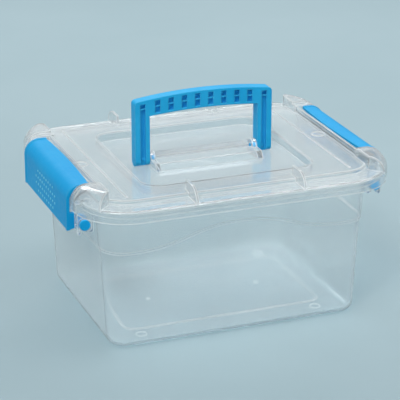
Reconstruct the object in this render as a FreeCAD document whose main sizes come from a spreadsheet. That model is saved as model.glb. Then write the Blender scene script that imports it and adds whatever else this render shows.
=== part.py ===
import FreeCAD, Part

import math
import os
import re

import Sketcher

# Lidded storage box: a drafted tub, a hooded lid, a fold-down carry handle and two side clips.
# Frame: +X along the long side, -Y to the front, +Z up, origin at the centre of the base.
# Millimetres and degrees throughout.
SIZES = {
    # Tub: a drafted box with rounded corners.
    "tub_base_length": 223.0,
    "tub_base_depth": 170.0,
    "tub_base_corner": 16.0,
    "tub_height": 129.6,
    "tub_draft": 2.9,
    "tub_wall": 1.6,
    "tub_floor": 2.0,
    "heel_round": 8.0,
    # Band: the upper wall stands proud above a line that humps on the long sides. Its ends follow
    # the lid, so the mouth fits the lid whatever the length of the base.
    "band_step": 1.2,
    "band_end_inset": 18.2,
    "band_height": 86.0,
    "hump_rise": 16.0,
    "hump_half_length": 92.0,
    # Raised panel in the middle of the floor, with two moulding gate marks under it.
    "panel_length": 176.0,
    "panel_depth": 106.0,
    "panel_corner": 9.0,
    "panel_rise": 1.2,
    "gate_spacing": 102.0,
    "gate_radius": 2.2,
    "gate_height": 0.6,
    # Rim of the tub, hidden inside the skirt of the lid.
    "rim_thickness": 1.6,
    "rim_lip_drop": 5.0,
    "rim_lip_thickness": 1.6,
    "rim_side_gap": 0.7,
    "rim_end_gap": 4.6,
    "rim_seat_gap": 0.3,
    # Forks under the rim that hold the clip pegs. They start beyond the ends of the clip.
    "pivot_inset": 8.0,
    "pivot_drop": 19.1,
    "fork_start": 3.7,
    "fork_thickness": 7.5,
    "fork_arm": 2.9,
    "fork_outer_drop": 8.9,
    "fork_inner_drop": 7.8,
    "fork_inner_arm": 4.9,
    "fork_throat": 5.2,
    # Lid: a skirt with big rounded corners, a ledge, and a raised top.
    "lid_length": 275.0,
    "lid_depth": 225.8,
    "lid_corner": 44.5,
    "lid_wall": 1.6,
    "skirt_drop": 8.4,
    "ledge_width": 18.0,
    "ledge_round": 2.4,
    "top_rise": 3.5,
    # Corner hoods, which run from the end of the short side to the diagonal of each corner.
    "hood_rise": 12.0,
    "hood_round": 13.0,
    "hood_inset": 23.5,
    # Shoulder: a slightly lower strip of the same section between each hood and the clip.
    "shoulder_width": 6.0,
    "shoulder_step": 1.6,
    # Seat for the clip hook between two hoods, with a low wall behind it.
    "seat_rise": 5.5,
    "seat_round": 18.0,
    "seat_wall_rise": 9.3,
    "seat_wall_thickness": 1.8,
    "seat_wall_inset": 21.5,
    # Fins on the ledge, beads and ring marks on the top.
    "fin_spacing": 94.0,
    "fin_thickness": 2.0,
    "fin_root": 8.0,
    "bead_spacing": 196.0,
    "bead_width": 1.6,
    "bead_height": 0.7,
    "bead_depth": 176.0,
    "ring_spacing": 218.0,
    "ring_radius": 6.2,
    "ring_width": 1.0,
    "ring_height": 0.7,
    # Sunk recess for the handle, with the hinge boss in the middle of it.
    "recess_length": 151.0,
    "recess_depth": 142.0,
    "recess_corner": 15.0,
    "recess_sink": 8.0,
    "boss_depth": 40.0,
    "boss_height": 6.0,
    "boss_lean": 4.0,
    "boss_end_gap": 0.5,
    "lug_thickness": 4.2,
    "lug_radius": 6.4,
    # Carry handle.
    "handle_length": 124.2,
    "handle_thickness": 10.0,
    "handle_fold_gap": 0.3,
    "leg_width": 13.0,
    "handle_shoulder": 52.4,
    "handle_arch": 4.5,
    "handle_corner": 3.4,
    "grip_under": 39.4,
    "grip_under_arch": 2.4,
    "pin_radius": 2.6,
    "pin_play": 0.05,
    "window_count": 8,
    "window_pitch": 11.94,
    "window_width": 4.7,
    "window_sink": 3.4,
    "window_top_margin": 2.2,
    "window_under_margin": 1.7,
    "window_rib": 1.1,
    "window_rib_sink": 0.8,
    "groove_inset": 7.0,
    "groove_width": 4.6,
    # Clips.
    "clip_length": 122.0,
    "clip_end_gap": 1.4,
    "clip_thickness": 2.3,
    "clip_side_gap": 0.5,
    "clip_seat_gap": 1.0,
    "hook_round": 12.5,
    "hook_tip_inset": 18.3,
    "hook_bow": 2.2,
    "clip_foot_drop": 8.0,
    "clip_rib_width": 2.4,
    "clip_rib_height": 0.6,
    "arm_thickness": 3.4,
    "arm_radius": 5.4,
    "arm_rise": 7.4,
    "peg_radius": 3.0,
    "peg_play": 0.05,
    "peg_head_radius": 4.5,
    "peg_head_thickness": 2.2,
    "peg_head_gap": 0.4,
    # Length by which a cutting shape passes through the face that it opens.
    "overrun": 6.0,
}

doc = FreeCAD.newDocument("storage_box")
sheet = doc.addObject("Spreadsheet::Sheet", "Sizes")
for row, (alias, amount) in enumerate(SIZES.items(), start=1):
    sheet.set(f"A{row}", alias)
    sheet.set(f"B{row}", str(amount))
    sheet.setAlias(f"B{row}", alias)
doc.recompute()


def qualified(formula):
    """The formula with each size's name pointed at its cell of the sheet."""
    return re.sub(r"[a-z_]+", lambda word: "Sizes." + word[0] if word[0] in SIZES else word[0], formula)


def value(formula):
    """The number that a formula over the sheet's sizes comes to."""
    return float(sheet.evalExpression(qualified(formula)))


def bind(item, setting, formula):
    item.setExpression(setting, qualified(formula))


def outline(body, role, level, corners):
    """A closed sketch through the corners; (x, y, radius, turn) leaves its corner by an arc."""
    sketch = body.newObject("Sketcher::SketchObject", body.Name + "_outline")
    plane = next(item for item in body.Origin.OriginFeatures if item.Role == role)
    sketch.AttachmentSupport = [(plane, "")]
    sketch.MapMode = "FlatFace"
    bind(sketch, "AttachmentOffset.Base.z", level)
    points = [FreeCAD.Vector(value(corner[0]), value(corner[1]), 0) for corner in corners]
    ends = []
    for index, corner in enumerate(corners):
        start = points[index]
        finish = points[(index + 1) % len(points)]
        if len(corner) == 2:
            sketch.addGeometry(Part.LineSegment(start, finish))
            ends.append((1, 2))
            continue
        radius = value(corner[2])
        turn = corner[3]
        chord = finish - start
        side = FreeCAD.Vector(-chord.y, chord.x, 0).normalize()
        rise = math.sqrt(max(radius ** 2 - chord.Length ** 2 / 4, 0))
        centre = (start + finish) / 2 + side * rise * turn
        first, last = (start, finish) if turn > 0 else (finish, start)
        angles = [math.atan2((end - centre).y, (end - centre).x) for end in (first, last)]
        circle = Part.Circle(centre, FreeCAD.Vector(0, 0, 1), radius)
        sketch.addGeometry(Part.ArcOfCircle(circle, *angles))
        ends.append((1, 2) if turn > 0 else (2, 1))
        name = f"radius_{index}"
        sketch.renameConstraint(sketch.addConstraint(Sketcher.Constraint("Radius", index, radius)), name)
        bind(sketch, "Constraints." + name, corner[2])
    for index, corner in enumerate(corners):
        after = (index + 1) % len(corners)
        sketch.addConstraint(Sketcher.Constraint("Coincident", index, ends[index][1], after, ends[after][0]))
        for kind, formula, place in zip(("DistanceX", "DistanceY"), corner, points[index]):
            name = f"{kind}_{index}"
            pinned = Sketcher.Constraint(kind, -1, 1, index, ends[index][0], place)
            sketch.renameConstraint(sketch.addConstraint(pinned), name)
            bind(sketch, "Constraints." + name, formula)
    return sketch


def pad(name, role, level, corners, length, both_ways=False, draft=None):
    """A body that pads the outline away from its plane, or half to each side of it."""
    body = doc.addObject("PartDesign::Body", name)
    sketch = outline(body, role, level, corners)
    feature = body.newObject("PartDesign::Pad", name + "_pad")
    feature.Profile = sketch
    feature.SideType = "Symmetric" if both_ways else "One side"
    bind(feature, "Length", length)
    if draft:
        bind(feature, "TaperAngle", draft)
    body.Tip = feature
    return body


def plate(name, length, depth, corner, bottom, top, draft=None):
    """A rounded rectangle, centred on the Z axis, padded from one height to another."""
    half_length = f"({length}) / 2"
    half_depth = f"({depth}) / 2"
    flat_x = f"{half_length} - ({corner})"
    flat_y = f"{half_depth} - ({corner})"
    corners = [
        (f"-({flat_x})", f"-{half_depth}"),
        (flat_x, f"-{half_depth}", corner, 1),
        (half_length, f"-({flat_y})"),
        (half_length, flat_y, corner, 1),
        (flat_x, half_depth),
        (f"-({flat_x})", half_depth, corner, 1),
        (f"-{half_length}", flat_y),
        (f"-{half_length}", f"-({flat_y})", corner, 1),
    ]
    return pad(name, "XY_Plane", bottom, corners, f"({top}) - ({bottom})", draft=draft)


def round_edges(body, radius, wanted):
    """Fillet the edges of the body's last feature that the test picks."""
    doc.recompute()
    base = body.Tip
    picked = [f"Edge{index}" for index, edge in enumerate(base.Shape.Edges, start=1) if wanted(edge)]
    feature = body.newObject("PartDesign::Fillet", body.Name + "_round")
    feature.Base = (base, picked)
    bind(feature, "Radius", radius)
    body.Tip = feature
    return body


def level_at(height):
    """A test for edges that lie flat at a height."""
    level = value(height)
    return lambda edge: all(abs(z - level) < Part.Precision.confusion() * 100
                            for z in (edge.BoundBox.ZMin, edge.BoundBox.ZMax))


def box(name, low, high):
    item = doc.addObject("Part::Box", name)
    for axis, setting, start, finish in zip("xyz", ("Length", "Width", "Height"), low, high):
        bind(item, setting, f"({finish}) - ({start})")
        bind(item, "Placement.Base." + axis, start)
    return item


def cylinder(name, axis, start, radius, length):
    item = doc.addObject("Part::Cylinder", name)
    item.Placement.Rotation = FreeCAD.Rotation(FreeCAD.Vector(0, 0, 1), FreeCAD.Vector(*axis))
    bind(item, "Radius", radius)
    bind(item, "Height", length)
    for setting, place in zip("xyz", start):
        bind(item, "Placement.Base." + setting, place)
    return item


def fuse(name, *items):
    joined = doc.addObject("Part::MultiFuse", name)
    joined.Shapes = items
    joined.Refine = True
    return joined


def common(name, *items):
    shared = doc.addObject("Part::MultiCommon", name)
    shared.Shapes = items
    return shared


def cut(name, base, tool):
    rest = doc.addObject("Part::Cut", name)
    rest.Base = base
    rest.Tool = tool
    return rest


def mirror(name, item, normal):
    copy = doc.addObject("Part::Mirroring", name)
    copy.Source = item
    copy.Normal = normal
    return copy


def both_ends(name, item):
    """The item and its mirror image at the other end of the X axis."""
    return fuse(name, item, mirror(name + "_twin", item, FreeCAD.Vector(1, 0, 0)))


def both_sides(name, item):
    """The item and its mirror image at the other end of the Y axis."""
    return fuse(name, item, mirror(name + "_twin", item, FreeCAD.Vector(0, 1, 0)))


# Heights and half sizes that several pieces share.
LEDGE_UNDER = "tub_height + rim_seat_gap"
LEDGE = LEDGE_UNDER + " + lid_wall"
TOP = LEDGE + " + top_rise"
HOOD = LEDGE + " + hood_rise"
SEAT = LEDGE + " + seat_rise"
SKIRT = "tub_height - skirt_drop"
LID_FOOT = SKIRT + " - overrun"
RECESS = TOP + " - recess_sink"
LID_END = "lid_length / 2"
SHOULDER_START = "clip_length / 2 + clip_end_gap"
HOOD_START = SHOULDER_START + " + shoulder_width"
PIVOT_X = "lid_length / 2 - pivot_inset"
PIVOT_Z = "tub_height - pivot_drop"
HINGE_Z = RECESS + " + handle_thickness / 2 + handle_fold_gap"
LEG_INNER = "handle_length / 2 - leg_width"
BOSS_END = LEG_INNER + " - boss_end_gap"


# Tub: the wall steps out inside and outside at the band line, and each side of the step keeps one
# wall between the outside and the hollow, so the wall never thins.
BAND_LENGTH = "lid_length - 2 * (band_end_inset + band_step + tub_height * tan(tub_draft))"


def tub_form(name, length, inset, bottom, top):
    grown = f"2 * ({bottom}) * tan(tub_draft) - 2 * ({inset})"
    return plate(
        name,
        f"{length} + {grown}",
        f"tub_base_depth + {grown}",
        f"tub_base_corner + ({bottom}) * tan(tub_draft) - ({inset})",
        bottom,
        top,
        "tub_draft",
    )


def band_region(name, raise_by):
    """Everything above the band line, which humps with four equal arcs on the long sides."""
    line = f"band_height + {raise_by}"
    rise = "hump_rise / 2"
    run = "hump_half_length / 2"
    radius = f"(({run}) ^ 2 + ({rise}) ^ 2) / (2 * ({rise}))"
    corners = [
        (f"-({LID_END})", line),
        ("-hump_half_length", line, radius, 1),
        (f"-({run})", f"{line} + {rise}", radius, -1),
        (run, f"{line} + {rise}", radius, 1),
        ("hump_half_length", line),
        (LID_END, line),
        (LID_END, "tub_height + overrun"),
        (f"-({LID_END})", "tub_height + overrun"),
    ]
    return pad(name, "XZ_Plane", "0", corners, "lid_depth", both_ways=True)


tub_outer = round_edges(
    tub_form("tub_outer", "tub_base_length", "0", "0", "tub_height"), "heel_round", level_at("0")
)
tub_cavity = round_edges(
    tub_form("tub_cavity", "tub_base_length", "tub_wall", "tub_floor", "tub_height + overrun"),
    "heel_round - tub_wall",
    level_at("tub_floor"),
)
band_outer = tub_form("band_outer", BAND_LENGTH, "-band_step", "0", "tub_height")
band_cavity = tub_form(
    "band_cavity", BAND_LENGTH, "tub_wall - band_step", "tub_floor", "tub_height + overrun"
)
above_band = band_region("above_band", "0")
tub_lower = cut("tub_lower", tub_outer, above_band)
tub_upper = common("tub_upper", band_outer, above_band)
lower_hollow = cut("lower_hollow", tub_cavity, band_region("above_lower_hollow", "-tub_wall"))
upper_hollow = common("upper_hollow", band_cavity, band_region("above_upper_hollow", "tub_wall"))
through_hollow = common("through_hollow", tub_cavity, band_cavity)


def rim_plate(name, inset, bottom, top):
    """The rim's plan, further from the skirt at the ends, where the lid rounds down over it."""
    side = f"lid_wall + rim_side_gap + {inset}"
    end = f"lid_wall + rim_end_gap + {inset}"
    length = f"lid_length - 2 * ({end})"
    depth = f"lid_depth - 2 * ({side})"
    return plate(name, length, depth, f"lid_corner - ({side})", bottom, top)


rim = rim_plate("rim", "0", "tub_height - rim_thickness", "tub_height")
rim_lip = cut(
    "rim_lip",
    rim_plate("rim_lip_outer", "0", "tub_height - rim_lip_drop", "tub_height"),
    rim_plate("rim_lip_inner", "rim_lip_thickness", "tub_height - rim_lip_drop - overrun", "tub_height"),
)

# A fork is two arms round the peg's hole, joined above it and open below by a throat that the peg
# snaps through. The outer arm is longer than the inner one.
HOLE = "peg_radius + peg_play"
FORK_OUT = f"{PIVOT_X} + {HOLE} + fork_arm"
FORK_IN = f"{PIVOT_X} - ({HOLE}) - fork_inner_arm"
FORK_TOP = "tub_height - rim_thickness / 2"
THROAT_OUT = f"{PIVOT_X} + fork_throat / 2"
THROAT_IN = f"{PIVOT_X} - fork_throat / 2"
OUTER_TIP = f"(({FORK_OUT}) - ({THROAT_OUT})) / 2"
INNER_TIP = f"(({THROAT_IN}) - ({FORK_IN})) / 2"
THROAT_TOP = f"{PIVOT_Z} - sqrt(({HOLE}) ^ 2 - (fork_throat / 2) ^ 2)"
INNER_FOOT = f"{PIVOT_Z} - fork_inner_drop"
OUTER_FOOT = f"{PIVOT_Z} - fork_outer_drop"
FORK_START = "clip_length / 2 + fork_start"
fork_corners = [
    (FORK_OUT, FORK_TOP),
    (FORK_IN, FORK_TOP),
    (FORK_IN, f"{INNER_FOOT} + {INNER_TIP}", INNER_TIP, 1),
    (f"{FORK_IN} + {INNER_TIP}", INNER_FOOT, INNER_TIP, 1),
    (THROAT_IN, f"{INNER_FOOT} + {INNER_TIP}"),
    (THROAT_IN, THROAT_TOP),
    (THROAT_OUT, THROAT_TOP),
    (THROAT_OUT, f"{OUTER_FOOT} + {OUTER_TIP}", OUTER_TIP, 1),
    (f"{THROAT_OUT} + {OUTER_TIP}", OUTER_FOOT, OUTER_TIP, 1),
    (FORK_OUT, f"{OUTER_FOOT} + {OUTER_TIP}"),
]
fork_blank = pad(
    "fork_blank", "XZ_Plane", f"-({FORK_START} + fork_thickness)", fork_corners, "fork_thickness"
)
fork_hole = cylinder("fork_hole", (0, 1, 0), (PIVOT_X, "0", PIVOT_Z), HOLE, "lid_depth")
fork = cut("fork", fork_blank, fork_hole)
forks = both_ends("forks", both_sides("fork_pair", fork))

panel_recess = plate(
    "panel_recess", "panel_length", "panel_depth", "panel_corner", "-overrun", "panel_rise"
)
panel_pad = plate(
    "panel_pad",
    "panel_length + 2 * tub_floor",
    "panel_depth + 2 * tub_floor",
    "panel_corner + tub_floor",
    "tub_floor / 2 + panel_rise / 2",
    "tub_floor + panel_rise",
)
gate_start = ("gate_spacing / 2", "0", "panel_rise - gate_height")
gate = cylinder("gate", (0, 0, 1), gate_start, "gate_radius", "gate_height + tub_floor / 2")

tub_shell = cut(
    "tub_shell",
    fuse("tub_solid", tub_lower, tub_upper, rim, rim_lip, forks),
    fuse("tub_hollow", lower_hollow, upper_hollow, through_hollow),
)
tub = fuse("tub", cut("tub_floor_cut", tub_shell, panel_recess), panel_pad, both_ends("gates", gate))


# Lid: every outer form has an inner twin one wall smaller, and the lid is the outer forms less the
# inner ones.
def lid_plate(name, inset, bottom, top):
    length = f"lid_length - 2 * ({inset})"
    depth = f"lid_depth - 2 * ({inset})"
    return plate(name, length, depth, f"lid_corner - ({inset})", bottom, top)


def seat_form(name, inset, reach):
    """The rim under a clip hook: flat on top, then a quarter round down to the skirt."""
    inner = f"{LID_END} - ledge_width - seat_wall_inset"
    step = f"{LID_END} - seat_wall_inset + {inset}"
    corners = [
        (inner, LID_FOOT),
        (f"{LID_END} - {inset}", LID_FOOT),
        (f"{LID_END} - {inset}", f"{SEAT} - seat_round", f"seat_round - {inset}", 1),
        (f"{LID_END} - seat_round", f"{SEAT} - {inset}"),
        (step, f"{SEAT} - {inset}"),
        (step, f"{TOP} - {inset}"),
        (inner, f"{TOP} - {inset}"),
    ]
    return pad(name, "XZ_Plane", "0", corners, f"2 * ({reach})", both_ways=True)


def hood_sector(name, inset):
    """The plan of one hood: from the end of the short side to the corner's diagonal."""
    near = f"{HOOD_START} + {inset}"
    inner = f"{LID_END} - hood_inset + {inset}"
    outer = f"{LID_END} + overrun"
    slant = f"lid_depth / 2 - {LID_END} - {inset} * sqrt(2)"
    corners = [(inner, near), (outer, near), (outer, f"{outer} + {slant}"), (inner, f"{inner} + {slant}")]
    sector = pad(name, "XY_Plane", SKIRT, corners, "2 * (hood_rise + skirt_drop)")
    return both_ends(name + "_ends", both_sides(name + "_sides", sector))


def hooded(name, inset, sink):
    """The lid with its rounded edge carried all the way round, of which hoods and fins are parts."""
    crown = f"{HOOD} - {sink} - {inset}"
    return round_edges(lid_plate(name, inset, LID_FOOT, crown), f"hood_round - {inset}", level_at(crown))


def shoulder_span(name, inset):
    span = box(
        name,
        (f"{LID_END} - hood_inset + {inset}", f"{SHOULDER_START} + {inset}", LID_FOOT),
        (f"{LID_END} + overrun", f"{HOOD_START} + {inset}", HOOD),
    )
    return both_ends(name + "_ends", both_sides(name + "_sides", span))


def seat_clearance(name, reach, seat):
    """What lies beyond the seat's rounded face, to be taken off the square rim."""
    block = box(
        name + "_block",
        (f"{LID_END} - seat_round", f"-({reach})", f"{SKIRT} - 2 * overrun"),
        (f"{LID_END} + overrun", reach, f"{HOOD} + overrun"),
    )
    return cut(name, block, seat)


def lid_form(name, inset, reach):
    """The lid's outer form, or with an inset its hollow."""
    ledge = lid_plate(name + "_ledge", inset, LID_FOOT, f"{LEDGE} - {inset}")
    round_edges(ledge, f"ledge_round - {inset}", level_at(f"{LEDGE} - {inset}"))
    top = lid_plate(name + "_top", f"ledge_width + {inset}", LID_FOOT, f"{TOP} - {inset}")
    seat = seat_form(name + "_seat", inset, reach)
    clearance = both_ends(name + "_clearances", seat_clearance(name + "_clearance", reach, seat))
    stepped = cut(name + "_stepped", fuse(name + "_steps", ledge, top), clearance)
    dome = hooded(name + "_dome", inset, "0")
    hoods = common(name + "_hoods", dome, hood_sector(name + "_sector", inset))
    low_dome = hooded(name + "_low_dome", inset, "shoulder_step")
    shoulders = common(name + "_shoulders", low_dome, shoulder_span(name + "_shoulder", inset))
    return dome, fuse(name, stepped, both_ends(name + "_seats", seat), hoods, shoulders)


dome, lid_outer = lid_form("lid_outer", "0", HOOD_START)
_, lid_hollow = lid_form("lid_hollow", "lid_wall", f"{HOOD_START} + lid_wall")

# Fins stand on the ledge and follow the hoods' rounded section.
FIN_INNER = "lid_depth / 2 - ledge_width - fin_root"
fin_blade = box(
    "fin_blade",
    ("fin_spacing / 2 - fin_thickness / 2", FIN_INNER, f"{LEDGE} - lid_wall / 2"),
    ("fin_spacing / 2 + fin_thickness / 2", "lid_depth / 2", HOOD),
)
fins = common("fins", dome, both_ends("fin_blades", both_sides("fin_blade_pair", fin_blade)))
SEAT_WALL = f"{LID_END} - seat_wall_inset"
SEAT_WALL_END = f"{HOOD_START} + lid_wall"
seat_wall = box(
    "seat_wall",
    (f"{SEAT_WALL} - seat_wall_thickness / 2", f"-({SEAT_WALL_END})", f"{TOP} - lid_wall / 2"),
    (f"{SEAT_WALL} + seat_wall_thickness / 2", SEAT_WALL_END, f"{LEDGE} + seat_wall_rise"),
)
bead = box(
    "bead",
    ("bead_spacing / 2 - bead_width / 2", "-bead_depth / 2", f"{TOP} - lid_wall / 2"),
    ("bead_spacing / 2 + bead_width / 2", "bead_depth / 2", f"{TOP} + bead_height"),
)
ring_start = ("ring_spacing / 2", "0", f"{TOP} - lid_wall / 2")
ring = cut(
    "ring",
    cylinder("ring_outer", (0, 0, 1), ring_start, "ring_radius", "lid_wall / 2 + ring_height"),
    cylinder("ring_inner", (0, 0, 1), ring_start, "ring_radius - ring_width", "lid_wall + ring_height"),
)
lid_marks = both_ends("lid_marks", fuse("lid_marks_end", seat_wall, bead, ring))
below_skirt = box(
    "below_skirt",
    (f"-({LID_END})", "-lid_depth / 2", f"{LID_FOOT} - overrun"),
    (LID_END, "lid_depth / 2", SKIRT),
)
lid_body = fuse("lid_body", lid_outer, fins, lid_marks)
lid_shell = cut("lid_shell", lid_body, fuse("lid_removed", lid_hollow, below_skirt))

dish = plate(
    "dish",
    "recess_length + 2 * lid_wall",
    "recess_depth + 2 * lid_wall",
    "recess_corner + lid_wall",
    f"{RECESS} - lid_wall",
    f"{TOP} - lid_wall / 2",
)
recess = plate("recess", "recess_length", "recess_depth", "recess_corner", RECESS, f"{TOP} + overrun")


def boss_form(name, inset, bottom, half_length):
    """The low roof-shaped boss along the handle's hinge line."""
    foot = f"boss_depth / 2 - {inset}"
    ridge = f"boss_depth / 2 - boss_lean - {inset}"
    roof = f"{RECESS} + boss_height - {inset}"
    corners = [
        (f"-({foot})", bottom),
        (foot, bottom),
        (foot, RECESS),
        (ridge, roof),
        (f"-({ridge})", roof),
        (f"-({foot})", RECESS),
    ]
    return pad(name, "YZ_Plane", "0", corners, f"2 * ({half_length})", both_ways=True)


boss = boss_form("boss", "0", f"{RECESS} - lid_wall / 2", BOSS_END)
LUG_START = f"{BOSS_END} - lug_thickness"
boss_hollow = boss_form("boss_hollow", "lid_wall", f"{RECESS} - overrun", LUG_START)
lug_round = cylinder("lug_round", (1, 0, 0), (LUG_START, "0", HINGE_Z), "lug_radius", "lug_thickness")
lug_root = box(
    "lug_root",
    (LUG_START, "-lug_radius", f"{RECESS} - lid_wall / 2"),
    (BOSS_END, "lug_radius", HINGE_Z),
)
lug = fuse("lug", lug_round, lug_root)
hinge_bore = cylinder(
    "hinge_bore", (1, 0, 0), (f"-({LEG_INNER})", "0", HINGE_Z), "pin_radius + pin_play", f"2 * ({LEG_INNER})"
)
lid_open = cut("lid_open", fuse("lid_dished", lid_shell, dish), recess)
lid_bossed = cut("lid_bossed", fuse("lid_with_boss", lid_open, boss, both_ends("lugs", lug)), boss_hollow)
lid = cut("lid", lid_bossed, hinge_bore)

# Carry handle: an arched grip on two legs, each leg rounded about the hinge line at its foot.
HALF = "handle_length / 2"
SHOULDER = f"{HINGE_Z} + handle_shoulder"
ARCH_RADIUS = f"(({HALF}) ^ 2 + handle_arch ^ 2) / (2 * handle_arch)"
UNDER = f"{HINGE_Z} + grip_under"
UNDER_RADIUS = f"(({LEG_INNER}) ^ 2 + grip_under_arch ^ 2) / (2 * grip_under_arch)"
hoop_corners = [
    (f"-({HALF})", HINGE_Z),
    (f"-({LEG_INNER})", HINGE_Z),
    (f"-({LEG_INNER})", UNDER, UNDER_RADIUS, -1),
    (LEG_INNER, UNDER),
    (LEG_INNER, HINGE_Z),
    (HALF, HINGE_Z),
    (HALF, SHOULDER, ARCH_RADIUS, 1),
    (f"-({HALF})", SHOULDER),
]
hoop = pad("hoop", "XZ_Plane", "0", hoop_corners, "handle_thickness", both_ways=True)


def crown_corner(edge):
    """The two edges where the grip's arch meets the outside of the legs."""
    bounds = edge.BoundBox
    at_shoulder = abs(bounds.ZMin - value(SHOULDER)) < value("handle_corner") / 10
    return at_shoulder and bounds.XLength < bounds.YLength


round_edges(hoop, "handle_corner", crown_corner)
leg_foot = cylinder("leg_foot", (1, 0, 0), (LEG_INNER, "0", HINGE_Z), "handle_thickness / 2", "leg_width")
pin = cylinder(
    "pin",
    (1, 0, 0),
    (LUG_START, "0", HINGE_Z),
    "pin_radius",
    "lug_thickness + boss_end_gap + leg_width / 2",
)

# Windows: pockets in both faces of the grip between two arcs, each crossed by a low rib. A groove
# runs down each leg.
WINDOW_TOP_RADIUS = f"{ARCH_RADIUS} - window_top_margin"
WINDOW_RIB_RADIUS = f"{ARCH_RADIUS} - (handle_shoulder - grip_under + handle_arch - grip_under_arch) / 2"
ARCH_CENTRE = f"{SHOULDER} + handle_arch - ({ARCH_RADIUS})"
UNDER_CENTRE = f"{UNDER} + grip_under_arch - ({UNDER_RADIUS})"
FACE_SINK = "handle_thickness / 2 - window_sink"


def arc_disc(name, centre, radius):
    start = ("0", "-handle_thickness", centre)
    return cylinder(name, (0, 1, 0), start, radius, "2 * handle_thickness")


window_band = cut(
    "window_band",
    arc_disc("window_top", ARCH_CENTRE, WINDOW_TOP_RADIUS),
    arc_disc("window_under", UNDER_CENTRE, f"{UNDER_RADIUS} + window_under_margin"),
)
window_bars = []
for number in range(SIZES["window_count"]):
    middle = f"({number} - (window_count - 1) / 2) * window_pitch"
    bar = box(
        f"window_bar_{number}",
        (f"{middle} - window_width / 2", FACE_SINK, UNDER),
        (f"{middle} + window_width / 2", "handle_thickness", f"{SHOULDER} + 2 * handle_arch"),
    )
    window_bars.append(bar)
windows = common("windows", window_band, fuse("window_bars", *window_bars))
GROOVE_IN = f"{HALF} - groove_inset - groove_width / 2"
groove = box(
    "groove",
    (GROOVE_IN, FACE_SINK, f"{HINGE_Z} - handle_thickness"),
    (f"{GROOVE_IN} + groove_width", "handle_thickness", f"{SHOULDER} - window_top_margin"),
)
rib_band = cut(
    "rib_band",
    arc_disc("rib_over", ARCH_CENTRE, f"{WINDOW_RIB_RADIUS} + window_rib / 2"),
    arc_disc("rib_under", ARCH_CENTRE, f"{WINDOW_RIB_RADIUS} - window_rib / 2"),
)
rib_slab = box(
    "rib_slab",
    (f"-({HALF})", "0", UNDER),
    (HALF, "handle_thickness / 2 - window_rib_sink", f"{SHOULDER} + 2 * handle_arch"),
)
rib = common("rib", rib_band, rib_slab)
pockets = cut("pockets", fuse("pockets_open", windows, both_ends("grooves", groove)), rib)
handle_blank = fuse("handle_blank", hoop, both_ends("leg_feet", leg_foot))
handle_cut = cut("handle_cut", handle_blank, both_sides("pockets_both", pockets))
carry_handle = fuse("carry_handle", handle_cut, both_ends("pins", pin))

# Clips: a bent plate with a hook over the lid, end ribs, and arms that carry the pegs.
CLIP_IN = f"{LID_END} + clip_side_gap"
CLIP_OUT = f"{CLIP_IN} + clip_thickness"
HOOK_UNDER = f"{SEAT} + clip_seat_gap"
HOOK_TOP = f"{HOOK_UNDER} + clip_thickness"
HOOK_TIP = f"{LID_END} - hook_tip_inset"
CLIP_FOOT = f"{PIVOT_Z} - clip_foot_drop"
CLIP_HALF = "clip_length / 2"


def bent_plate(name, level, proud, length, both_ways):
    """The clip's section, an upright plate turned over into the hook."""
    outer = f"(hook_round + {proud})"
    inner = "(hook_round - clip_thickness)"
    bend_x = f"{CLIP_OUT} - hook_round"
    bend_z = f"{HOOK_TOP} - hook_round"
    corners = [
        (f"{CLIP_OUT} - clip_thickness", CLIP_FOOT),
        (f"{CLIP_OUT} + {proud}", CLIP_FOOT),
        (f"{CLIP_OUT} + {proud}", bend_z, outer, 1),
        (bend_x, f"{HOOK_TOP} + {proud}"),
        (HOOK_TIP, f"{HOOK_TOP} + {proud}"),
        (HOOK_TIP, HOOK_UNDER),
        (bend_x, HOOK_UNDER, inner, -1),
        (f"{CLIP_OUT} - clip_thickness", bend_z),
    ]
    return pad(name, "XZ_Plane", level, corners, length, both_ways)


clip_plate = bent_plate("clip_plate", "0", "0", "clip_length", True)
clip_rib = bent_plate("clip_rib", f"-({CLIP_HALF})", "clip_rib_height", "clip_rib_width", False)
arm_corners = [
    (CLIP_OUT, f"{PIVOT_Z} + arm_rise"),
    (PIVOT_X, f"{PIVOT_Z} + arm_radius", "arm_radius", 1),
    (f"{PIVOT_X} - arm_radius", PIVOT_Z, "arm_radius", 1),
    (PIVOT_X, f"{PIVOT_Z} - arm_radius"),
    (CLIP_OUT, CLIP_FOOT),
]
clip_arm = pad("clip_arm", "XZ_Plane", f"-({CLIP_HALF})", arm_corners, "arm_thickness")
PEG_HEAD = f"{FORK_START} + fork_thickness + peg_head_gap"
clip_peg = cylinder(
    "clip_peg",
    (0, 1, 0),
    (PIVOT_X, f"{CLIP_HALF} - arm_thickness / 2", PIVOT_Z),
    "peg_radius",
    f"{PEG_HEAD} - {CLIP_HALF} + arm_thickness / 2",
)
peg_head = cylinder(
    "peg_head", (0, 1, 0), (PIVOT_X, PEG_HEAD, PIVOT_Z), "peg_head_radius", "peg_head_thickness"
)
# The hook's edge is bowed: a wide upright cylinder trims it back towards the ends.
BOW_RADIUS = f"(({CLIP_HALF}) ^ 2 + hook_bow ^ 2) / (2 * hook_bow)"
bow = cylinder(
    "bow", (0, 0, 1), (f"{HOOK_TIP} + {BOW_RADIUS}", "0", "0"), BOW_RADIUS, f"{HOOK_TOP} + overrun"
)
clip_ends = both_sides("clip_ends", fuse("clip_end", clip_rib, clip_arm, clip_peg, peg_head))
right_clip = common("right_clip", fuse("clip_blank", clip_plate, clip_ends), bow)
left_clip = mirror("left_clip", right_clip, FreeCAD.Vector(1, 0, 0))

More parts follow.
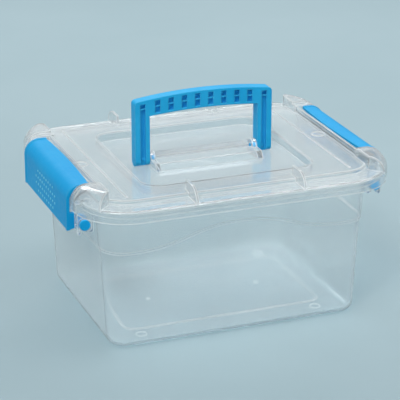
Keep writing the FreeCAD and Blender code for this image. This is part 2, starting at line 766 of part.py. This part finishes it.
doc.recompute()
failed = [item.Name for item in doc.Objects if {"Invalid", "Error"} & set(item.State)]
if failed:
    raise RuntimeError("failed: " + ", ".join(failed))
os.makedirs("parts", exist_ok=True)
NODES = (tub, lid, carry_handle, left_clip, right_clip)
for node in NODES:
    if node.Shape.isNull() or not node.Shape.isValid():
        raise RuntimeError("bad shape: " + node.Label)
for node in NODES:
    node.Shape.exportStep(f"parts/{node.Label}.step")
    print(node.Label, len(node.Shape.Solids), "solid", round(node.Shape.Volume / 1000, 1), "cm3")
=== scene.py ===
# %% [markdown]
# # A lidded carry box in milky plastic, with blue handle and clips
# The box is five plastic mouldings. Their shapes come ready from the CAD model, so this lesson adds
# what CAD leaves out: the dotted thumb grips on the clips, the fine moulding marks inside the tub,
# the finishes, the light and the camera.

# %% Open the CAD model
from math import radians

import bpy
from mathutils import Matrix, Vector


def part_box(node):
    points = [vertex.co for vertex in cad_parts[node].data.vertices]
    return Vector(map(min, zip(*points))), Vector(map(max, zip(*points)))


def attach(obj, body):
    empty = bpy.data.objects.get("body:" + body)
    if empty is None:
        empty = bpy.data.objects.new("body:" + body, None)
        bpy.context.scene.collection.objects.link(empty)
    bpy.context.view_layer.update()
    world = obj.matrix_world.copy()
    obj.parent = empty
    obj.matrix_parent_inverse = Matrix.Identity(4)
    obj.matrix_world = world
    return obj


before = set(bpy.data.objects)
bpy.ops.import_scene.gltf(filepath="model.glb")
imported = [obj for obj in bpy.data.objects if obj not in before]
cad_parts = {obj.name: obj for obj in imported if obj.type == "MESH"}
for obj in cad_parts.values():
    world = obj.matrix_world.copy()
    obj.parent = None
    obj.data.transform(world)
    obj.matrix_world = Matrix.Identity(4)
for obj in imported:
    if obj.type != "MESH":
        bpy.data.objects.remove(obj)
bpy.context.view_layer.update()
MM = 0.001
print("CAD nodes:", sorted(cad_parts))

# %% [markdown]
# ## The camera
# The box is seen from the front, a little from the left and from above, through a longish lens, so
# its edges run nearly parallel. A camera can be aimed with a constraint, but turning it once by
# to_track_quat keeps the scene free of helper objects.

# %% Place and aim the camera
CAMERA_PLACE = Vector((-531.0, -1377.3, 654.4)) * MM
CAMERA_TARGET = Vector((21.3, 60.7, 63.3)) * MM
LENS_MM = 164.1
SENSOR_MM = 36.0
NEAREST_M = 0.02
FURTHEST_M = 60.0


def turned_to(place, aim):
    """The rotation of a camera or lamp at place that looks at aim."""
    return (Vector(aim) - Vector(place)).to_track_quat("-Z", "Y").to_euler()


lens = bpy.data.cameras.new("front_camera")
lens.lens = LENS_MM
lens.sensor_width = SENSOR_MM
lens.clip_start = NEAREST_M
lens.clip_end = FURTHEST_M
camera = bpy.data.objects.new("front_camera", lens)
bpy.context.collection.objects.link(camera)
camera.location = CAMERA_PLACE
camera.rotation_euler = turned_to(CAMERA_PLACE, CAMERA_TARGET)
bpy.context.scene.camera = camera
print("camera distance in m:", round((CAMERA_TARGET - CAMERA_PLACE).length, 3))

# %% [markdown]
# ## Helpers for node materials
# Each finish is a Principled shader fed by a few patterns. Wiring every node by hand takes many
# lines, so short helpers add a node with its settings, link two sockets by name, and start an empty
# material.

# %% Add and link nodes
def add_node(tree, kind, values=None, **settings):
    """A new node with its settings and the values of its sockets."""
    node = tree.nodes.new(kind)
    for name, setting in settings.items():
        setattr(node, name, setting)
    for name, value in (values or {}).items():
        node.inputs[name].default_value = value
    return node


def join(tree, source, output, target, socket):
    """A link from an output of the source to a socket of the target, by name or by number."""
    tree.links.new(source.outputs[output], target.inputs[socket])


def fresh_material(name):
    """An empty node material with its output and a Principled shader."""
    material = bpy.data.materials.new(name)
    material.use_nodes = True
    tree = material.node_tree
    tree.nodes.clear()
    output = add_node(tree, "ShaderNodeOutputMaterial", name="surface_output")
    shader = add_node(tree, "ShaderNodeBsdfPrincipled")
    join(tree, shader, "BSDF", output, "Surface")
    return material, tree, shader


print("helpers for nodes: add_node, join, fresh_material")

# %% [markdown]
# ## Drifting tones and painted highlights on edges
# No moulding is quite even: its haze, gloss and colour drift a little, and its edges catch light,
# which is painted in here as a lighter tone or a whiter haze along them.
# An image could carry that, but noise on Object coordinates needs no image and stays put when a
# piece turns on its hinge. Edges are found with the Bevel node, which rounds the shading normal
# without changing the mesh: where it leaves the true normal, there is an edge.

# %% Noise patterns and colour blends
NOISE_LOW = 0.3
NOISE_HIGH = 0.7
NOISE_OUT = 0
BLEND_FACTOR = 0
FIRST_COLOUR = 6
SECOND_COLOUR = 7
BLEND_OUT = 2


def noise_node(tree, scale, detail, roughness):
    """A noise texture on Object coordinates."""
    place = add_node(tree, "ShaderNodeTexCoord")
    values = {"Scale": scale, "Detail": detail, "Roughness": roughness}
    noise = add_node(tree, "ShaderNodeTexNoise", values)
    join(tree, place, "Object", noise, "Vector")
    return noise


def pattern(tree, scale, detail, low, high):
    """Noise that is stretched to run from low to high."""
    noise = noise_node(tree, scale, detail, roughness=0.55)
    values = {"From Min": NOISE_LOW, "From Max": NOISE_HIGH, "To Min": low, "To Max": high}
    spread = add_node(tree, "ShaderNodeMapRange", values)
    join(tree, noise, NOISE_OUT, spread, "Value")
    return spread


def two_tone(tree, factor, first, second):
    """A colour that runs from first to second as the factor goes from 0 to 1."""
    blend = add_node(tree, "ShaderNodeMix", data_type="RGBA")
    blend.inputs[FIRST_COLOUR].default_value = first
    blend.inputs[SECOND_COLOUR].default_value = second
    join(tree, factor, "Result", blend, BLEND_FACTOR)
    return blend


print("helpers for tones: noise_node, pattern, two_tone")

# %% Edge mask and surface ripple
BEVEL_SAMPLES = 6
EDGE_FULL = 0.75


def edge_mask(tree, radius, strength):
    """The strength close to an edge and 0 on open faces."""
    rounded = add_node(tree, "ShaderNodeBevel", {"Radius": radius}, samples=BEVEL_SAMPLES)
    true = add_node(tree, "ShaderNodeNewGeometry")
    dot = add_node(tree, "ShaderNodeVectorMath", operation="DOT_PRODUCT")
    join(tree, rounded, "Normal", dot, 0)
    join(tree, true, "Normal", dot, 1)
    values = {"From Min": 1.0, "From Max": EDGE_FULL, "To Min": 0.0, "To Max": strength}
    mask = add_node(tree, "ShaderNodeMapRange", values)
    join(tree, dot, "Value", mask, "Value")
    return mask


def ripple(tree, shader, scale, height, softness):
    """A faint unevenness of the surface, as bump, over edges that shade as if slightly rounded."""
    noise = noise_node(tree, scale, detail=3.0, roughness=0.5)
    soft_edge = add_node(tree, "ShaderNodeBevel", {"Radius": softness}, samples=BEVEL_SAMPLES)
    bump = add_node(tree, "ShaderNodeBump", {"Strength": 1.0, "Distance": height})
    join(tree, noise, NOISE_OUT, bump, "Height")
    join(tree, soft_edge, "Normal", bump, "Normal")
    join(tree, bump, "Normal", shader, "Normal")


print("helpers for edges: edge_mask, ripple")

# %% [markdown]
# ## Milky plastic for the tub and the lid
# Uncoloured polypropylene is clear with a haze: it passes most light a little blurred and scatters
# the rest. Its thin edges gather light and look white, and a wall seen at a slant looks hazier,
# because the view passes through more of it. A volume would give the haze but is slow and noisy
# in thin walls. Here the shader is mostly transmission, and a share of white diffuse stands for the
# haze: it grows on slanted walls, and along edges it is a painted highlight for the light they
# gather. Such walls would also cast full shadows inside the box, so shadow rays see a tinted
# transparent wall instead.

# %% Light through the wall
SLANT_BLEND = 0.4
SLANT_START = 0.5
SLANT_HAZE = 0.5


def let_lamps_through(tree, shader, tint):
    """Shadow rays pass the wall with a tint, so that lamps light the inside of the box."""
    path = add_node(tree, "ShaderNodeLightPath")
    passing = add_node(tree, "ShaderNodeBsdfTransparent", {"Color": tint})
    either = add_node(tree, "ShaderNodeMixShader")
    join(tree, path, "Is Shadow Ray", either, 0)
    join(tree, shader, "BSDF", either, 1)
    join(tree, passing, "BSDF", either, 2)
    join(tree, either, "Shader", tree.nodes["surface_output"], "Surface")


def slant_haze(tree):
    """0 on a wall seen squarely, growing as it is seen more at a slant."""
    slant = add_node(tree, "ShaderNodeLayerWeight", {"Blend": SLANT_BLEND})
    values = {"From Min": SLANT_START, "From Max": 1.0, "To Min": 0.0, "To Max": SLANT_HAZE}
    grazing = add_node(tree, "ShaderNodeMapRange", values)
    join(tree, slant, "Facing", grazing, "Value")
    return grazing


def less_haze(tree, passed, output, haze):
    """The share of light that passes, less a haze, and never below 0."""
    rest = add_node(tree, "ShaderNodeMath", operation="SUBTRACT", use_clamp=True)
    join(tree, passed, output, rest, 0)
    join(tree, haze, "Result", rest, 1)
    return rest


print("helpers for milky walls: let_lamps_through, slant_haze, less_haze")

# %% Milky plastic
CLEAR_IOR = 1.46
COOL_WHITE = (0.92, 0.95, 0.96, 1)
CLEAN_WHITE = (0.97, 0.985, 0.99, 1)
WHITE_HIGHLIGHT_EDGE = 1.6 * MM
WALL_WAVE = 0.008 * MM
WALL_SOFTNESS = 0.5 * MM


def milky_plastic(name, clear, hazy, edge_highlight_haze, satin, tint):
    """Plastic that passes between hazy and clear of the light, with painted white edge highlights.
    """
    material, tree, shader = fresh_material(name)
    shader.inputs["IOR"].default_value = CLEAR_IOR
    drift = pattern(tree, scale=9.0, detail=2.0, low=0.0, high=1.0)
    tone = two_tone(tree, drift, COOL_WHITE, CLEAN_WHITE)
    join(tree, tone, BLEND_OUT, shader, "Base Color")
    open_wall = pattern(tree, scale=14.0, detail=3.0, low=hazy, high=clear)
    # Near edges the white haze grows: a painted highlight.
    off_edge_highlight = less_haze(tree, open_wall, "Result", edge_mask(tree, WHITE_HIGHLIGHT_EDGE, edge_highlight_haze))
    passed = less_haze(tree, off_edge_highlight, "Value", slant_haze(tree))
    join(tree, passed, "Value", shader, "Transmission Weight")
    blur = pattern(tree, scale=60.0, detail=4.0, low=0.8 * satin, high=1.2 * satin)
    join(tree, blur, "Result", shader, "Roughness")
    ripple(tree, shader, scale=45.0, height=WALL_WAVE, softness=WALL_SOFTNESS)
    let_lamps_through(tree, shader, tint)
    return material


TUB_TINT = (0.80, 0.84, 0.86, 1)
LID_TINT = (0.82, 0.85, 0.86, 1)
clear_tub = milky_plastic(
    "clear_tub", clear=0.92, hazy=0.86, edge_highlight_haze=0.95, satin=0.10, tint=TUB_TINT)
clear_lid = milky_plastic(
    "clear_lid", clear=0.93, hazy=0.89, edge_highlight_haze=0.90, satin=0.11, tint=LID_TINT)
print("milky finishes:", clear_tub.name, clear_lid.name)

# %% [markdown]
# ## Blue plastic for the handle and the clips
# The blue mouldings are opaque and satin, with a very fine spark-eroded grain and edges that catch
# the light. A flat colour would look like paper, so two close blues drift across each piece, the
# roughness varies, and the edges are painted a shade lighter as a highlight. The dots of the thumb
# grips are painted lighter still: a painted highlight for the light that small domes catch.

# %% Blue plastic
BLUE_IOR = 1.5
BLUE_GLOSS = 0.14
BLUE_HIGHLIGHT_RADIUS = 0.9 * MM
EDGE_HIGHLIGHT_SHARE = 0.7
GRAIN_HEIGHT = 0.02 * MM
BLUE_SOFTNESS = 1.0 * MM


def blue_plastic(name, dull, bright, edge_highlight_tone, satin):
    """Satin plastic that drifts between two blues, with a painted highlight of a third along its
    edges.
    """
    material, tree, shader = fresh_material(name)
    shader.inputs["IOR"].default_value = BLUE_IOR
    shader.inputs["Specular IOR Level"].default_value = BLUE_GLOSS
    drift = pattern(tree, scale=25.0, detail=3.0, low=0.0, high=1.0)
    body = two_tone(tree, drift, dull, bright)
    # The edges take a lighter blue here: a painted highlight.
    tone = two_tone(tree, edge_mask(tree, BLUE_HIGHLIGHT_RADIUS, EDGE_HIGHLIGHT_SHARE), dull, edge_highlight_tone)
    join(tree, body, BLEND_OUT, tone, FIRST_COLOUR)
    join(tree, tone, BLEND_OUT, shader, "Base Color")
    grain = pattern(tree, scale=220.0, detail=4.0, low=0.85 * satin, high=1.15 * satin)
    join(tree, grain, "Result", shader, "Roughness")
    ripple(tree, shader, scale=900.0, height=GRAIN_HEIGHT, softness=BLUE_SOFTNESS)
    return material


DULL_BLUE = (0.003, 0.38, 0.80, 1)
BRIGHT_BLUE = (0.012, 0.43, 0.84, 1)
PALE_BLUE = (0.030, 0.50, 0.91, 1)
# The lighter blue painted along the edges as a highlight.
EDGE_HIGHLIGHT_BLUE = (0.12, 0.66, 0.96, 1)
# The dots are painted a lighter blue: a highlight for the light their small domes catch.
DOT_HIGHLIGHT_BLUE = (0.14, 0.66, 0.96, 1)
DOT_TOP_HIGHLIGHT_BLUE = (0.25, 0.76, 0.98, 1)
blue_handle = blue_plastic("blue_handle", BRIGHT_BLUE, PALE_BLUE, EDGE_HIGHLIGHT_BLUE, satin=0.45)
blue_clip = blue_plastic("blue_clip", DULL_BLUE, BRIGHT_BLUE, EDGE_HIGHLIGHT_BLUE, satin=0.45)
highlighted_blue_dots = blue_plastic("highlighted_blue_dots", DOT_HIGHLIGHT_BLUE, DOT_TOP_HIGHLIGHT_BLUE, DOT_TOP_HIGHLIGHT_BLUE, satin=0.30)
print("blue finishes:", blue_handle.name, blue_clip.name, highlighted_blue_dots.name)

# %% [markdown]
# ## Dress the CAD pieces
# The five CAD pieces could be modelled again as Blender meshes, but their shapes are already there,
# so they stay as they are and only take a finish.

# %% Put the finishes on the CAD pieces
FINISHES = {
    "tub": clear_tub,
    "lid": clear_lid,
    "carry_handle": blue_handle,
    "left_clip": blue_clip,
    "right_clip": blue_clip,
}
for node, finish in FINISHES.items():
    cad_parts[node].material_slots[0].material = finish
print("dressed:", list(FINISHES))

# %% [markdown]
# ## The dotted thumb grip
# Each clip has a field of small raised dots on its upright face, where the thumb pulls. They could
# be a bump pattern, but real domes catch the light from every side. One dome is modelled from a
# low sphere, and two Array modifiers repeat it in rows. The field has four rows: two long ones in
# the middle, and a shorter one above and below, so that its corners look rounded.

# %% Helpers for small relief
ORIGIN = (0, 0, 0)
SMOOTH_ANGLE = 1.0


def clear_selection():
    if bpy.context.object and bpy.context.object.mode != "OBJECT":
        bpy.ops.object.mode_set(mode="OBJECT")
    bpy.ops.object.select_all(action="DESELECT")


def edit_all():
    """Edit mode with the whole mesh selected."""
    bpy.ops.object.mode_set(mode="EDIT")
    bpy.ops.mesh.select_all(action="SELECT")


def set_half(outward, flatten, place):
    """Keep the outward half of the active primitive, flatten it and set it in its place."""
    edit_all()
    bpy.ops.mesh.bisect(plane_co=ORIGIN, plane_no=outward, clear_inner=True, use_fill=True)
    bpy.ops.mesh.select_all(action="SELECT")
    bpy.ops.transform.resize(value=flatten, center_override=ORIGIN)
    bpy.ops.transform.translate(value=place)
    bpy.ops.object.mode_set(mode="OBJECT")


def repeat(piece, label, count, step):
    """Copies of the piece in a row, one step apart, in its own mesh."""
    array = piece.modifiers.new(label, "ARRAY")
    array.count = count
    array.use_relative_offset = False
    array.use_constant_offset = True
    array.constant_offset_displace = step
    bpy.ops.object.modifier_apply(modifier=label)


def join_pieces(piece, other):
    """One piece of two, with its normals outward and its curved faces smooth."""
    clear_selection()
    other.select_set(True)
    piece.select_set(True)
    bpy.context.view_layer.objects.active = piece
    bpy.ops.object.join()
    edit_all()
    bpy.ops.mesh.normals_make_consistent(inside=False)
    bpy.ops.object.mode_set(mode="OBJECT")
    bpy.ops.object.shade_smooth_by_angle(angle=SMOOTH_ANGLE)


print("helpers for relief: clear_selection, edit_all, set_half, repeat, join_pieces")

# %% Model one dome and repeat it in two rows
DOT_RADIUS = 1.15 * MM
DOT_HEIGHT = 0.58 * MM
DOT_STEP_Y = 6.0 * MM
DOT_STEP_Z = 6.0 * MM
GRIP_MIDDLE_Z = 117.0 * MM
QUARTER_TURN = radians(90)


def dot_rows(name, side, face, along, apart):
    """Two rows of domes on the upright face of a clip, side is -1 for left and 1 for right."""
    clear_selection()
    bpy.ops.mesh.primitive_uv_sphere_add(segments=10, ring_count=6, radius=DOT_RADIUS)
    dome = bpy.context.object
    dome.name = name
    edit_all()
    bpy.ops.transform.rotate(value=QUARTER_TURN, orient_axis="Y", center_override=ORIGIN)
    start = (face, -DOT_STEP_Y * (along - 1) / 2, GRIP_MIDDLE_Z - apart / 2)
    set_half(outward=(side, 0, 0), flatten=(DOT_HEIGHT / DOT_RADIUS, 1, 1), place=start)
    repeat(dome, "along", along, (0, DOT_STEP_Y, 0))
    repeat(dome, "up", 2, (0, 0, apart))
    print(name, "dots:", 2 * along)
    return dome


print("field of dots in mm:", round(DOT_STEP_Y / MM, 1), "by", round(DOT_STEP_Z / MM, 1), "steps")

# %% Put a grip on each clip
LONG_ROW = 10
SHORT_ROW = 8
RIB_HEIGHT = 0.6 * MM


def thumb_grip(name, side, clip):
    """Four rows of dots on the face between the clip's end ribs, which stand out a rib's height."""
    low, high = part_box(clip)
    face = (high.x if side > 0 else low.x) - side * RIB_HEIGHT
    grip = dot_rows(name, side, face, LONG_ROW, DOT_STEP_Z)
    outer = dot_rows(name + "_outer", side, face, SHORT_ROW, 3 * DOT_STEP_Z)
    join_pieces(grip, outer)
    # The dots take the lighter blue of a painted highlight.
    grip.data.materials.append(highlighted_blue_dots)
    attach(grip, clip)
    print(name, "faces:", len(grip.data.polygons), "stands on x mm:", round(face / MM, 2))


thumb_grip("left_thumb_grip", -1, "left_clip")
thumb_grip("right_thumb_grip", 1, "right_clip")

# %% [markdown]
# ## Moulding marks on the floor of the tub
# The mould leaves small marks inside the tub: a dot over each of the two points where the plastic
# flowed in, and a fine ring near each corner. They could be painted on with a mask, but a raised
# form bends the light as the real one does. A torus and a sphere are cut in half, so that each mark
# stands on the floor, and Array modifiers copy them to their mirrored places. The marks are hazier
# than the wall, a painted highlight for the light that a small raised edge gathers.

# %% Model a ring and copy it to four corners
RING_RADIUS = 4.4 * MM
RING_TUBE = 0.5 * MM
RING_X = 79.6 * MM
RING_Y = 64.5 * MM
RING_FLOOR = 2.0 * MM
RING_FLATTEN = 0.7

clear_selection()
bpy.ops.mesh.primitive_torus_add(
    major_radius=RING_RADIUS, minor_radius=RING_TUBE, major_segments=40, minor_segments=10)
rings = bpy.context.object
rings.name = "floor_marks"
set_half((0, 0, 1), (1, 1, RING_FLATTEN), (-RING_X, -RING_Y, RING_FLOOR))
repeat(rings, "right", 2, (2 * RING_X, 0, 0))
repeat(rings, "back", 2, (0, 2 * RING_Y, 0))
print("ring faces:", len(rings.data.polygons))

# %% Model a gate dot, copy it and join the marks
GATE_RADIUS = 1.8 * MM
GATE_X = 51.0 * MM
GATE_FLOOR = 3.2 * MM
GATE_FLATTEN = 0.4
# The marks' extra haze is a painted highlight.
mark_highlight_haze = milky_plastic(
    "mark_highlight_haze", clear=0.45, hazy=0.30, edge_highlight_haze=0.5, satin=0.2, tint=TUB_TINT)

clear_selection()
bpy.ops.mesh.primitive_uv_sphere_add(segments=20, ring_count=10, radius=GATE_RADIUS)
gates = bpy.context.object
gates.name = "gate_dots"
set_half((0, 0, 1), (1, 1, GATE_FLATTEN), (-GATE_X, 0, GATE_FLOOR))
repeat(gates, "right", 2, (2 * GATE_X, 0, 0))
join_pieces(rings, gates)
rings.data.materials.append(mark_highlight_haze)
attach(rings, "tub")
print("floor marks faces:", len(rings.data.polygons))

# %% [markdown]
# ## Floor
# The box stands on a wide sheet of paper. A white floor would drown the haze and the white edges
# of the plastic, so it is a pale, cool grey with a slight drift of tone. It lies a hair below the
# base, because two faces in the same place flicker.

# %% Floor
FLOOR_HALF = 12.0
FLOOR_GAP = 0.3 * MM
PAPER_DARK = (0.37, 0.49, 0.53, 1)
PAPER_LIGHT = (0.40, 0.52, 0.56, 1)
PAPER_ROUGHNESS = 0.75

clear_selection()
bpy.ops.mesh.primitive_plane_add(size=2 * FLOOR_HALF, location=(0, 0, -FLOOR_GAP))
floor = bpy.context.object
floor.name = "studio_floor"
paper, paper_tree, paper_shader = fresh_material("floor_paper")
paper_grain = pattern(paper_tree, scale=3.0, detail=4.0, low=0.0, high=1.0)
paper_tone = two_tone(paper_tree, paper_grain, PAPER_DARK, PAPER_LIGHT)
join(paper_tree, paper_tone, BLEND_OUT, paper_shader, "Base Color")
paper_shader.inputs["Roughness"].default_value = PAPER_ROUGHNESS
floor.data.materials.append(paper)
print("floor half width in m:", FLOOR_HALF)

# %% [markdown]
# ## Light
# Soft light, as in a photo studio, gives plastic long gentle highlights. The key light from the
# upper left is a wide sun and not a lamp, because a sun lights the floor evenly as far as it goes.
# Area lamps add the rest: a weak one overhead, a strip from behind for the top edges, and a fill
# from the right. A pale even sky lightens the shadows.

# %% Lamps
MIDDLE = (0, 0, 0.1)


def hang(name, kind, place, power, tint):
    """A lamp that hangs at its place and points at the middle of the box."""
    lamp = bpy.data.lights.new(name, kind)
    lamp.energy = power
    lamp.color = tint
    holder = bpy.data.objects.new(name, lamp)
    bpy.context.collection.objects.link(holder)
    holder.location = place
    holder.rotation_euler = turned_to(place, MIDDLE)
    print("lamp", name, kind, power)
    return lamp


def soft_lamp(name, place, width, depth, watts, tint):
    lamp = hang(name, "AREA", place, watts, tint)
    lamp.shape = "RECTANGLE"
    lamp.size = width
    lamp.size_y = depth


SUN_STRENGTH = 1.05
SUN_SPREAD = 0.35
key_sun = hang("key_sun", "SUN", (-0.75, -0.75, 1.35), SUN_STRENGTH, (1.0, 0.99, 0.97))
key_sun.angle = SUN_SPREAD
soft_lamp("overhead_lamp", (0.05, -0.35, 1.30), 1.0, 0.35, watts=3.0, tint=(1.0, 1.0, 1.0))
soft_lamp("back_strip", (0.25, 1.15, 1.00), 1.6, 0.25, watts=7.0, tint=(0.96, 0.98, 1.0))
soft_lamp("right_fill", (1.3, -0.35, 0.8), 0.7, 0.7, watts=3.0, tint=(0.97, 0.99, 1.0))

# %% Sky
SKY_TONE = (0.70, 0.75, 0.78, 1)
SKY_STRENGTH = 0.55
sky = bpy.data.worlds.new("studio_sky")
sky.use_nodes = True
background = sky.node_tree.nodes["Background"]
background.inputs["Color"].default_value = SKY_TONE
background.inputs["Strength"].default_value = SKY_STRENGTH
bpy.context.scene.world = sky
bpy.context.scene.view_settings.view_transform = "Standard"
print("sky strength:", SKY_STRENGTH)
